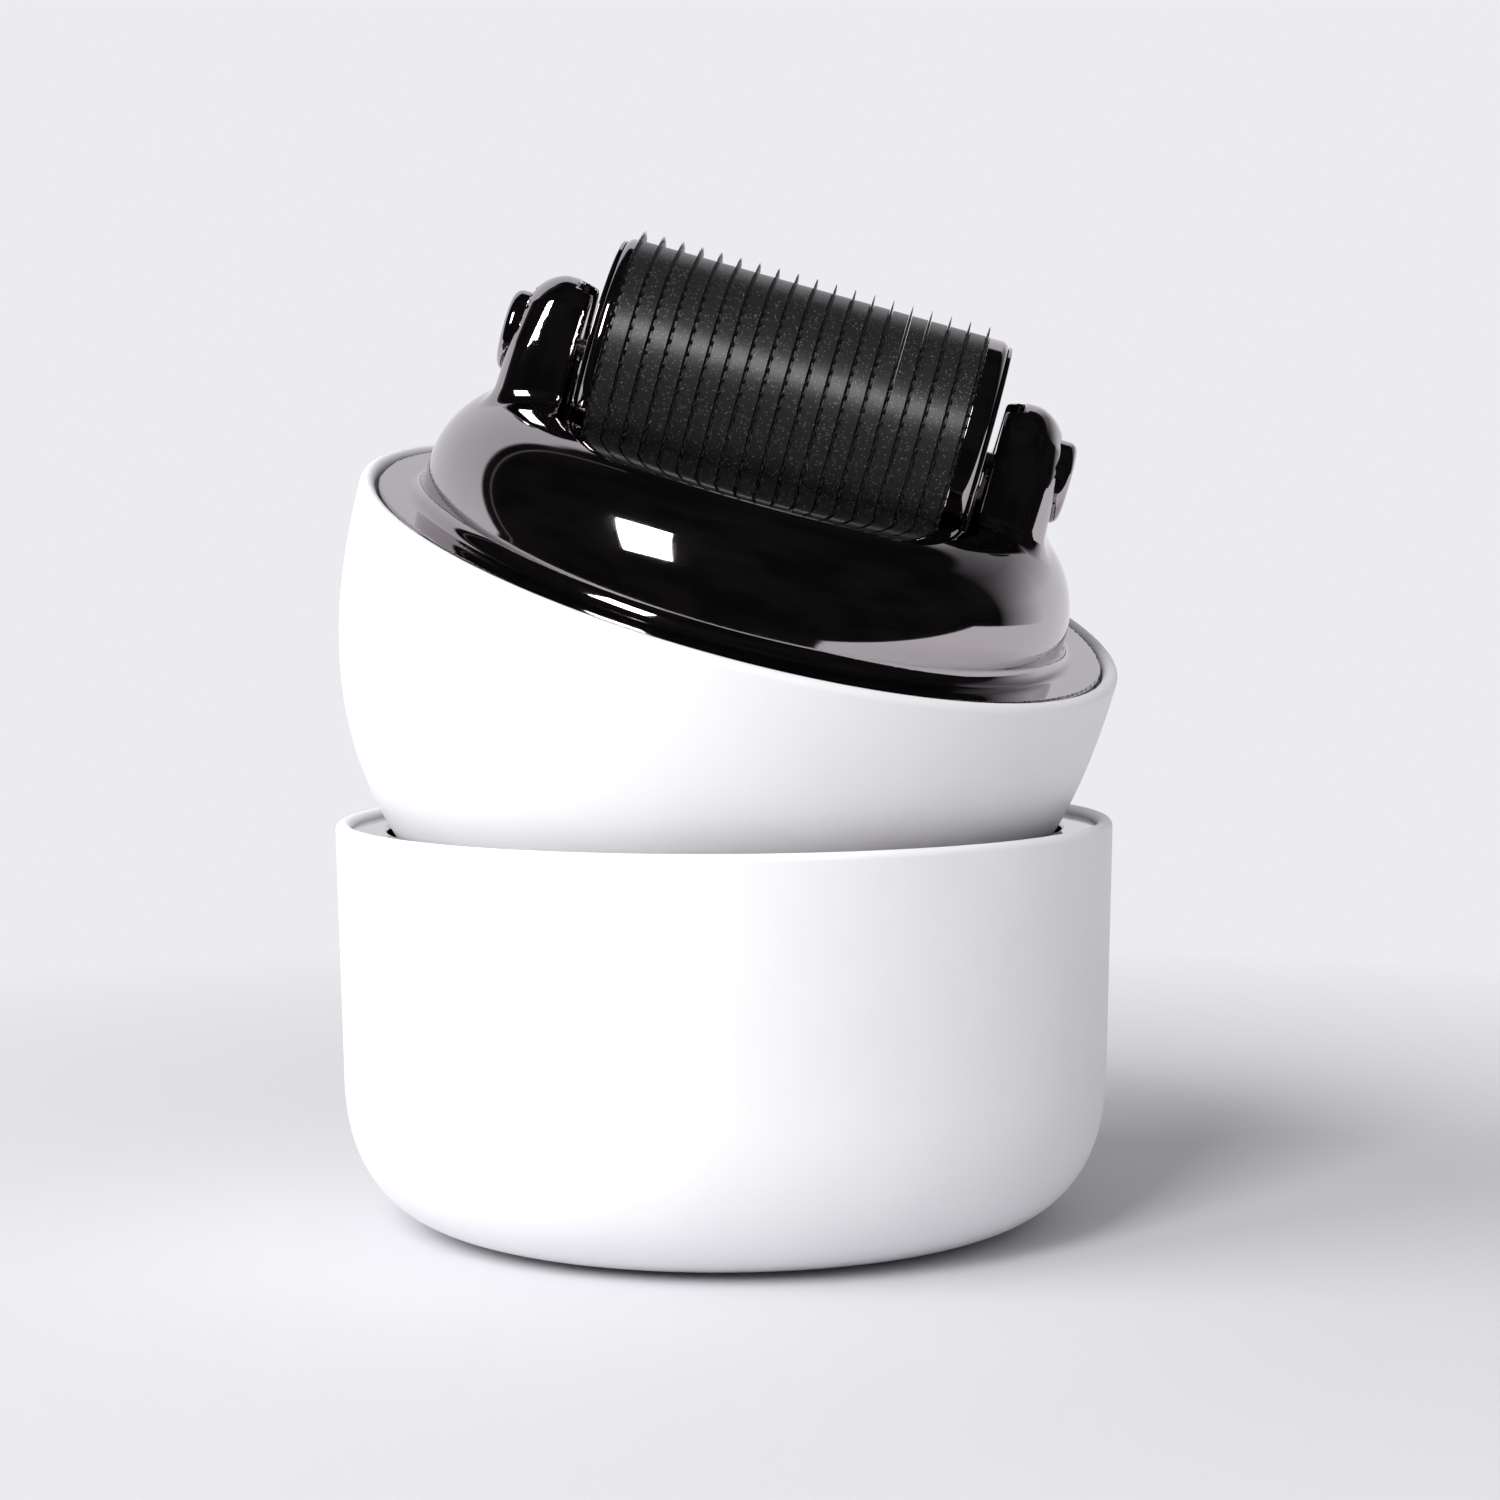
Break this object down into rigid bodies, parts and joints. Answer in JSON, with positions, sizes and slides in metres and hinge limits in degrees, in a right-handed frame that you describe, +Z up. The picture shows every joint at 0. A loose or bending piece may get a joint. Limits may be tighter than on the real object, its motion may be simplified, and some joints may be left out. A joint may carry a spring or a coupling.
{
  "type": "derma roller",
  "caption": "Palm-held derma roller: a domed handle with a needle drum between two arms, resting drum up in the mouth of its round storage case.",
  "frame": {"origin": "centre of the storage case's flat underside", "axes": "+Z up along the case's axis, -Y towards the front, where the handle's rim tips down, and +X to the right"},
  "size_m": [0.0784, 0.0785, 0.0989],
  "materials": {
    "white_plastic": "satin white moulded plastic",
    "black_chrome": "black-chrome plated plastic, mirror bright",
    "drum_plastic": "satin black plastic with fine sparkle",
    "needle_steel": "fine etched needle discs",
    "bush_plastic": "plain black bearing plastic",
    "spring_steel": "bright spring and pin steel"
  },
  "bodies": {
    "case": {"case_shell": "white_plastic", "case_liner": "black_chrome"},
    "head": {"handle_shell": "white_plastic", "head_cover": "black_chrome", "left_axle_bush": "bush_plastic", "right_axle_bush": "bush_plastic", "left_button_spring": "spring_steel", "right_button_spring": "spring_steel"},
    "drum": {"axle_pin": "spring_steel", "drum_core": "drum_plastic", "left_end_cap": "black_chrome", "right_end_cap": "black_chrome", "needle_disc_01": "needle_steel", "needle_disc_02": "needle_steel", "needle_disc_03": "needle_steel", "needle_disc_04": "needle_steel", "needle_disc_05": "needle_steel", "needle_disc_06": "needle_steel", "needle_disc_07": "needle_steel", "needle_disc_08": "needle_steel", "needle_disc_09": "needle_steel", "needle_disc_10": "needle_steel", "needle_disc_11": "needle_steel", "needle_disc_12": "needle_steel", "needle_disc_13": "needle_steel", "needle_disc_14": "needle_steel", "needle_disc_15": "needle_steel", "needle_disc_16": "needle_steel", "needle_disc_17": "needle_steel", "needle_disc_18": "needle_steel", "needle_disc_19": "needle_steel", "spacer_01": "drum_plastic", "spacer_02": "drum_plastic", "spacer_03": "drum_plastic", "spacer_04": "drum_plastic", "spacer_05": "drum_plastic", "spacer_06": "drum_plastic", "spacer_07": "drum_plastic", "spacer_08": "drum_plastic", "spacer_09": "drum_plastic", "spacer_10": "drum_plastic", "spacer_11": "drum_plastic", "spacer_12": "drum_plastic", "spacer_13": "drum_plastic", "spacer_14": "drum_plastic", "spacer_15": "drum_plastic", "spacer_16": "drum_plastic", "spacer_17": "drum_plastic", "spacer_18": "drum_plastic"},
    "left_button": {"left_release_button": "black_chrome"},
    "right_button": {"right_release_button": "black_chrome"}
  },
  "joints": [
    {"name": "head_lift", "type": "slide", "parent": "case", "child": "head", "axis": [0, 0, 1], "range_m": [0, 0.07]},
    {"name": "drum_spin", "type": "hinge", "parent": "head", "child": "drum", "pos_m": [0.00634, -0.00496, 0.08173], "axis": [0.9612, -0.0394, -0.2729], "continuous": true},
    {"name": "left_button_press", "type": "slide", "parent": "head", "child": "left_button", "axis": [0.9612, -0.0394, -0.2729], "range_m": [0, 0.0012], "stiffness_N_per_m": 300, "deforming": ["left_button_spring"]},
    {"name": "right_button_press", "type": "slide", "parent": "head", "child": "right_button", "axis": [-0.9612, 0.0394, 0.2729], "range_m": [0, 0.0012], "stiffness_N_per_m": 300, "deforming": ["right_button_spring"]}
  ]
}
